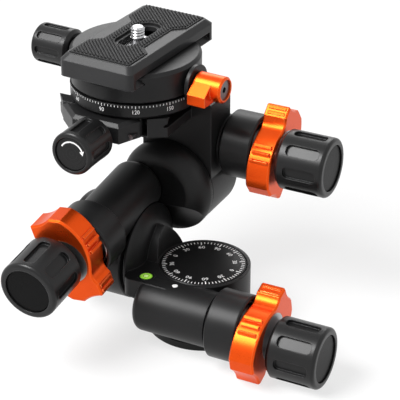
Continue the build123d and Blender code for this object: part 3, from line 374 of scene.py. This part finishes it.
# Bubble level: a round vial of green spirit under a clear top, pressed into a black bezel on the
# tab. A printed circle shows the middle, and the bubble floats just inside it.
level_low, level_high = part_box("bubble_vial")
level_middle = (level_low + level_high) / 2
# The vial's colour runs from light green in the middle to dark green at the rim, and is also given off as a
# faint painted glow.
level_green, level_shader, level_place = start_finish(
    "level_green", {"Roughness": 0.12, "Coat Weight": 0.8, "Coat Roughness": 0.05, "Emission Strength": 0.35})
level_rim = (level_place.vector_math("DISTANCE", tuple(level_middle), "Value") * 500.0 - 0.75).clip()
level_tint_and_painted_glow = level_rim.blend((0.46, 0.90, 0.09, 1.0), (0.10, 0.36, 0.02, 1.0))
level_tint_and_painted_glow.feed(level_shader.inputs["Base Color"])
level_tint_and_painted_glow.feed(level_shader.inputs["Emission Color"])
dress(level_green, "bubble_vial")
dress(turned_black("bezel_black", level_middle, upright, 0.006, 0.3), "bubble_bezel")

circle_shape = bmesh.new()
circle_steps, circle_depth = 40, 0.05 * mm
circle_rows = []
for reach, rise in ((1.25 * mm, 0.02 * mm), (1.33 * mm, 0.05 * mm), (1.41 * mm, 0.02 * mm)):
    circle_rows.append([Vector((level_middle.x + reach * math.cos(math.tau * step / circle_steps),
                                level_middle.y + reach * math.sin(math.tau * step / circle_steps),
                                level_high.z + rise)) for step in range(circle_steps)])
add_strip(circle_shape, circle_rows, circle_depth, closed=True)
print_black, black_shader, black_place = start_finish("print_black", {"Roughness": 0.5})
black_tint = black_place.noise(4000.0, 2.0).blend((0.006, 0.010, 0.006, 1.0), (0.014, 0.02, 0.012, 1.0))
black_tint.feed(black_shader.inputs["Base Color"])
new_piece("level_circle", circle_shape, print_black, "pan_body", smooth=True)

bubble_r, bubble_flat, bubble_off = 1.0 * mm, 0.12, Vector((-0.15 * mm, 0.1 * mm, 0.0))
bubble_middle = Vector((level_middle.x, level_middle.y, level_high.z)) + bubble_off
bubble_shape = bmesh.new()
bmesh.ops.create_uvsphere(
    bubble_shape, u_segments=24, v_segments=12, radius=bubble_r,
    matrix=Matrix.Translation(bubble_middle) @ Matrix.Diagonal((1.0, 1.0, bubble_flat, 1.0)))
# The bubble's pale green is also given off as a faint painted glow.
bubble_painted_glow, bubble_shader, bubble_place = start_finish(
    "bubble_painted_glow", {"Roughness": 0.06, "Emission Strength": 0.3, "Coat Weight": 0.6})
bubble_tint_and_painted_glow = bubble_place.noise(900.0, 2.0).blend((0.60, 0.92, 0.25, 1.0), (0.78, 1.0, 0.45, 1.0))
bubble_tint_and_painted_glow.feed(bubble_shader.inputs["Base Color"])
bubble_tint_and_painted_glow.feed(bubble_shader.inputs["Emission Color"])
new_piece("level_bubble", bubble_shape, bubble_painted_glow, "pan_body", smooth=True)


# Worm drives: each has a turned black collar, a clamp ring milled from orange dyed aluminium and a
# fluted black knob with a pressed-in cap. The same parts stand on all three axes.
def drive_axis(stage):
    """A point on a worm drive's axis and the axis's direction, from its collar and its cap."""
    collar_middle, cap_middle = (sum(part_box(part_name), Vector()) / 2
                                 for part_name in (f"{stage}_collar", f"{stage}_knob_cap"))
    return collar_middle, (cap_middle - collar_middle).normalized()


orange, orange_shader, orange_place = start_finish(
    "orange_anodised", {"Metallic": 0.85, "Specular IOR Level": 0.12})
orange_grain = orange_place.noise(3000.0, 2.0)
orange_cloud = orange_place.noise(80.0, 3.0)
orange_soft, orange_painted_edge_highlight = rubbed_edges(orange_place, 0.5 * mm, 2.4)
orange_dye = orange_cloud.blend((0.70, 0.066, 0.005, 1.0), (0.82, 0.090, 0.009, 1.0))
# Painted highlight: the colour is lightened to a pale orange along sharp edges.
orange_painted_edge_highlight.blend(orange_dye, (1.0, 0.30, 0.09, 1.0)).feed(orange_shader.inputs["Base Color"])
(orange_grain * 0.10 + orange_cloud * 0.05 + 0.22).feed(orange_shader.inputs["Roughness"])
relief(orange_shader, orange_grain, 0.10, 0.02 * mm, orange_soft)
dress(orange, "pan_ring", "tilt_ring", "roll_ring", "clamp_lever")

knob_black, knob_shader, knob_place = start_finish("knob_black", {"Specular IOR Level": 0.27})
knob_grain = knob_place.noise(3600.0, 2.0)
knob_cloud = knob_place.noise(60.0, 3.0)
knob_soft, knob_painted_edge_highlight = rubbed_edges(knob_place, 0.6 * mm, 2.6)
knob_dye = knob_cloud.blend(near_black(0.006), near_black(0.010))
# Painted highlight: the colour is lightened along sharp edges.
knob_painted_edge_highlight.blend(knob_dye, near_black(0.040)).feed(knob_shader.inputs["Base Color"])
(knob_grain * 0.10 + knob_cloud * 0.05 + 0.225).feed(knob_shader.inputs["Roughness"])
relief(knob_shader, knob_grain, 0.14, 0.02 * mm, knob_soft)
dress(knob_black, "pan_knob", "tilt_knob", "roll_knob", "platform_lock_knob", "clamp_jaw_knob")

for stage in ("pan", "tilt", "roll"):
    middle, axis = drive_axis(stage)
    dress(turned_black(f"{stage}_collar_black", middle, axis, 0.010, 0.36), f"{stage}_collar")
    dress(turned_black(f"{stage}_cap_black", middle, axis, 0.003, 0.30, shine=0.06), f"{stage}_knob_cap")


# Inside the drives: ground steel worms and axles, bronze wheels, plain aluminium sleeves and wound
# spring wire. They show in the open bores and from below.
def metal(name, colour, roughness, scale):
    """Bare machined metal with fine tool marks."""
    finish, shader, place = start_finish(name, {"Metallic": 1.0})
    marks = place.noise(scale, 3.0)
    dark = tuple(part * 0.82 for part in colour) + (1.0,)
    place.noise(120.0, 3.0).blend(dark, colour + (1.0,)).feed(shader.inputs["Base Color"])
    (marks * 0.16 + (roughness - 0.08)).feed(shader.inputs["Roughness"])
    relief(shader, marks, 0.12, 0.02 * mm)
    return finish


dress(metal("ground_steel", (0.60, 0.60, 0.61), 0.26, 2600.0),
      "pan_post", "pan_worm", "tilt_worm", "roll_worm", "pan_spring", "tilt_spring", "roll_spring",
      "pan_retainer", "tilt_retainer", "roll_retainer", "tilt_axle", "roll_axle", "platform_jaw_screw",
      "clamp_centre_bolt", "clamp_jaw_screw")
dress(metal("wheel_bronze", (0.58, 0.40, 0.17), 0.32, 2200.0),
      "pan_wheel", "tilt_wheel", "roll_wheel", "pan_bush")
dress(metal("sleeve_aluminium", (0.50, 0.51, 0.52), 0.34, 3000.0),
      "pan_sleeve", "tilt_sleeve", "roll_sleeve")


# Lower clamp: the jaw is milled from the same bar as the platform and dyed black. A screw with a
# small fluted knob draws it in along two pins, and an arrow on the knob's end shows which way locks.
def arc_arrow(shape, middle, right, up, radius):
    """A printed arrow that curves round the end of a knob."""
    out = right.cross(up) * (0.06 * mm)
    depth = 0.08 * mm
    half_wide = 0.34 * mm

    def spot(reach, degrees):
        angle = math.radians(degrees)
        return middle + right * (reach * math.cos(angle)) + up * (reach * math.sin(angle)) + out

    def row(degrees, half):
        return spot(radius - half, degrees), spot(radius + half, degrees)

    shaft_from, shaft_to, head_from, head_to = 150, 20, 22, 2
    add_strip(shape, [row(turn, half_wide) for turn in range(shaft_from, shaft_to - 1, -10)], -depth)
    add_strip(shape, [row(head_from, 3.4 * half_wide), row(head_to, 0.1 * half_wide)], depth)


dress(cast_black("clamp_black", 0.010, 0.36), "platform_jaw", "clamp_body", "clamp_jaw")
lock_low, lock_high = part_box("platform_knob_cap")
lock_middle = (lock_low + lock_high) / 2
dress(turned_black("lock_cap_black", lock_middle, (0.0, 1.0, 0.0), 0.007, 0.26), "platform_knob_cap")
lock_arrow_r = 5.6 * mm
lock_mark = bmesh.new()
arc_arrow(lock_mark, Vector((lock_middle.x, lock_low.y, lock_middle.z)),
          Vector((1.0, 0.0, 0.0)), Vector(upright), lock_arrow_r)
new_piece("lock_arrow", lock_mark, print_white, "lower_lock")


# Scale ring: the foot of the panning clamp, a turned black disc with a dovetail below. Its side
# carries a printed tick every three degrees and plain numbers every thirty.
def on_ring(middle_angle):
    """Wraps the points of a number round the ring, squeezed a little in width."""
    def spot(across, up, out):
        angle = middle_angle + across * scale_squeeze / scale_r
        return Vector((clamp_x + (scale_r + out) * math.cos(angle),
                       clamp_y + (scale_r + out) * math.sin(angle), scale_top - scale_number_drop + up))
    return spot


clamp_x, clamp_y = -44.3 * mm, 19.6 * mm
dress(turned_black("scale_black", (clamp_x, clamp_y, 0.0), upright, 0.008, 0.36), "clamp_base")
scale_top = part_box("clamp_base")[1].z
scale_r, scale_lift, scale_zero = 30.3 * mm, 0.04 * mm, -181.8
scale_step, scale_number_step = 3, 30
scale_tick_top, scale_long_drop, scale_short_drop = 0.25 * mm, 1.55 * mm, 1.2 * mm
scale_long_half_wide, scale_short_half_wide = 0.17 * mm, 0.13 * mm
scale_number_drop, scale_figure_height, scale_squeeze = 3.3 * mm, 1.9 * mm, 0.86
scale_shape = bmesh.new()
for turn in range(0, 360, scale_step):
    long_tick = turn % scale_number_step == 0
    angle = math.radians(scale_zero + turn)
    half_turn = (scale_long_half_wide if long_tick else scale_short_half_wide) / scale_r
    reach = scale_r + scale_lift
    rows = [[Vector((clamp_x + reach * math.cos(angle + side), clamp_y + reach * math.sin(angle + side),
                     scale_top - drop)) for side in (-half_turn, half_turn)]
            for drop in (scale_long_drop if long_tick else scale_short_drop, scale_tick_top)]
    add_strip(scale_shape, rows, print_depth)
for turn in range(0, 360, scale_number_step):
    add_figure(scale_shape, str(turn), scale_figure_height, on_ring(math.radians(scale_zero + turn)))
new_piece("scale_marks", scale_shape, print_white, "clamp_foot")

# Panning clamp: a turned body and a sliding jaw that grip the plate's dovetail. The jaw's knob has
# the same pressed-in cap and arrow as the lock knob, and the lever's screw is dark steel.
upper_turn = math.radians(-3.3)
jaw_way = Vector((-math.cos(upper_turn), -math.sin(upper_turn), 0.0))
jaw_right = Vector((-jaw_way.y, jaw_way.x, 0.0))
jaw_middle = sum(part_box("clamp_jaw_knob_cap"), Vector()) / 2
jaw_cap_half, jaw_arrow_r = 0.75 * mm, 5.2 * mm
dress(turned_black("jaw_cap_black", jaw_middle, jaw_way, 0.007, 0.26), "clamp_jaw_knob_cap")
jaw_mark = bmesh.new()
arc_arrow(jaw_mark, jaw_middle + jaw_way * jaw_cap_half, jaw_right, Vector(upright), jaw_arrow_r)
new_piece("jaw_arrow", jaw_mark, print_white, "upper_lock")
dress(metal("screw_dark", (0.16, 0.16, 0.165), 0.34, 2400.0),
      "clamp_lever_screw", "platform_jaw_pins", "clamp_jaw_pins")


# Camera plate: extruded dovetail bar with milled bevels, blasted and dyed black. Its pad is ribbed
# rubber, and each rib runs across the plate at forty-five degrees.
def cutter_over(points, low, high):
    """A closed prism over an outline, to trim the ribs with."""
    shape = bmesh.new()
    face = shape.faces.new([shape.verts.new((x, y, low)) for x, y in points])
    risen = bmesh.ops.extrude_face_region(shape, geom=[face])
    bmesh.ops.translate(shape, vec=(0.0, 0.0, high - low),
                        verts=[part for part in risen["geom"] if isinstance(part, bmesh.types.BMVert)])
    return helper_from("cutter", shape)


def helper_from(name, shape):
    """A passing object that only serves to shape the ribs."""
    bmesh.ops.recalc_face_normals(shape, faces=shape.faces)
    mesh = bpy.data.meshes.new(name)
    shape.to_mesh(mesh)
    shape.free()
    made = bpy.data.objects.new(name, mesh)
    scene.collection.objects.link(made)
    return made


dress(cast_black("plate_black", 0.020, 0.38), "plate_body")
rubber, rubber_shader, rubber_place = start_finish("pad_rubber", {"Specular IOR Level": 0.22})
rubber_grain = rubber_place.noise(2600.0, 3.0)
rubber_tint = rubber_place.noise(90.0, 3.0).blend(near_black(0.009), near_black(0.017))
rubber_tint.feed(rubber_shader.inputs["Base Color"])
(rubber_grain * 0.15 + 0.52).feed(rubber_shader.inputs["Roughness"])
relief(rubber_shader, rubber_grain, 0.25, 0.04 * mm)
dress(rubber, "plate_pad")

plate_shift, slot_shift = 2.0 * mm, 1.9 * mm
to_clamp = Matrix.Translation((clamp_x, clamp_y, 0.0)) @ Matrix.Rotation(upper_turn, 4, "Z")
pad_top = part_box("plate_pad")[1].z
rib_pitch, rib_foot_half, rib_top_half = 1.42 * mm, 0.42 * mm, 0.25 * mm
rib_sunk, rib_high, rib_half_long, ribs_each_side = 0.2 * mm, 0.60 * mm, 34.0 * mm, 26
rib_section = ((-rib_foot_half, -rib_sunk), (rib_foot_half, -rib_sunk),
               (rib_top_half, rib_high), (-rib_top_half, rib_high))
comb_shape = bmesh.new()
slant = math.sqrt(0.5)
for count in range(-ribs_each_side, ribs_each_side + 1):
    off = count * rib_pitch
    near, far = (
        [comb_shape.verts.new(((off + across + along) * slant, (off + across - along) * slant, pad_top + up))
         for across, up in rib_section]
        for along in (-rib_half_long, rib_half_long))
    comb_shape.faces.new(near)
    comb_shape.faces.new(far[::-1])
    for k in range(len(near)):
        comb_shape.faces.new((near[k - 1], far[k - 1], far[k], near[k]))
comb = helper_from("comb", comb_shape)

pad_half_wide, pad_half_long = 14.7 * mm, 31.1 * mm
waist_half_wide, waist_half_long, waist_slope = 9.7 * mm, 12.6 * mm, 5.0 * mm
pad_side = [(pad_half_wide, -pad_half_long), (pad_half_wide, -waist_half_long - waist_slope),
            (waist_half_wide, -waist_half_long), (waist_half_wide, waist_half_long),
            (pad_half_wide, waist_half_long + waist_slope), (pad_half_wide, pad_half_long)]
pad_cutter = cutter_over(pad_side + [(-x, -y) for x, y in pad_side], pad_top - mm, pad_top + mm)
slot_half_wide, slot_end, slot_steps = 6.5 * mm, 9.2 * mm, 12
slot_middle = slot_shift - plate_shift
slot_side = [(slot_half_wide * math.cos(math.pi * step / slot_steps),
              slot_middle + slot_end + slot_half_wide * math.sin(math.pi * step / slot_steps))
             for step in range(slot_steps + 1)]
slot_other_side = [(-x, 2 * slot_middle - y) for x, y in slot_side]
slot_cutter = cutter_over(slot_side + slot_other_side, pad_top - mm, pad_top + mm)
for cutter, operation in ((pad_cutter, "INTERSECT"), (slot_cutter, "DIFFERENCE")):
    cut = comb.modifiers.new("trim", "BOOLEAN")
    cut.operation = operation
    cut.solver = "EXACT"
    cut.object = cutter
trimmed = bpy.data.meshes.new_from_object(comb.evaluated_get(bpy.context.evaluated_depsgraph_get()))
rib_shape = bmesh.new()
rib_shape.from_mesh(trimmed)
bmesh.ops.transform(rib_shape, matrix=to_clamp @ Matrix.Translation((0.0, plate_shift, 0.0)),
                    verts=rib_shape.verts)
for helper in (comb, pad_cutter, slot_cutter):
    bpy.data.objects.remove(helper)
new_piece("pad_ribs", rib_shape, rubber, "plate")

# Camera screw: a 1/4 inch screw of bright steel with a rolled thread and a rounded tip, on a wide
# head that slides in the plate's slot. It stands for the plain CAD screw.
screw_low, screw_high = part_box("camera_screw")
screw_r, screw_pitch, screw_depth = 3.175 * mm, 1.27 * mm, 0.42 * mm
head_r, head_top, head_chamfer = 7.6 * mm, 124.2 * mm, 0.4 * mm
neck_r, neck_top = 3.35 * mm, 126.5 * mm
tip_round, tip_inset, tip_steps = 0.9 * mm, 0.3 * mm, 6
thread_top = screw_high.z - tip_round
thread_rows, screw_steps = 40, 48
profile = [(screw_low.z, 0.0), (screw_low.z, head_r - head_chamfer), (screw_low.z + head_chamfer, head_r),
           (head_top - head_chamfer, head_r), (head_top, head_r - head_chamfer), (head_top, neck_r),
           (neck_top, neck_r)]
for step in range(thread_rows + 1):
    profile.append((neck_top + (thread_top - neck_top) * step / thread_rows, screw_r))
for step in range(1, tip_steps):
    angle = math.pi / 2 * step / tip_steps
    profile.append((thread_top + tip_round * math.sin(angle),
                    screw_r - tip_inset - tip_round * (1.0 - math.cos(angle))))
profile.append((screw_high.z, 0.0))
screw_shape = bmesh.new()
screw_rings = []
for z, reach in profile:
    ring = []
    for step in range(screw_steps if reach > 0.0 else 1):
        angle = math.tau * step / screw_steps
        r = reach
        if neck_top < z < thread_top and reach == screw_r:
            phase = ((z - neck_top) / screw_pitch - step / screw_steps) % 1.0
            r = screw_r - screw_depth * abs(2.0 * phase - 1.0)
        ring.append(screw_shape.verts.new((r * math.cos(angle), slot_shift + r * math.sin(angle), z)))
    screw_rings.append(ring)
for low_ring, high_ring in zip(screw_rings, screw_rings[1:]):
    for step in range(screw_steps):
        after = (step + 1) % screw_steps
        if len(low_ring) == 1:
            screw_shape.faces.new((low_ring[0], high_ring[after], high_ring[step]))
        elif len(high_ring) == 1:
            screw_shape.faces.new((low_ring[step], low_ring[after], high_ring[0]))
        else:
            screw_shape.faces.new((low_ring[step], low_ring[after], high_ring[after], high_ring[step]))
bmesh.ops.transform(screw_shape, matrix=to_clamp, verts=screw_shape.verts)
bright_steel = metal("bright_steel", (0.50, 0.50, 0.51), 0.24, 1800.0)
camera_screw = new_piece("camera_screw_bright", screw_shape, bright_steel, "camera_bolt")
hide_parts("camera_screw")
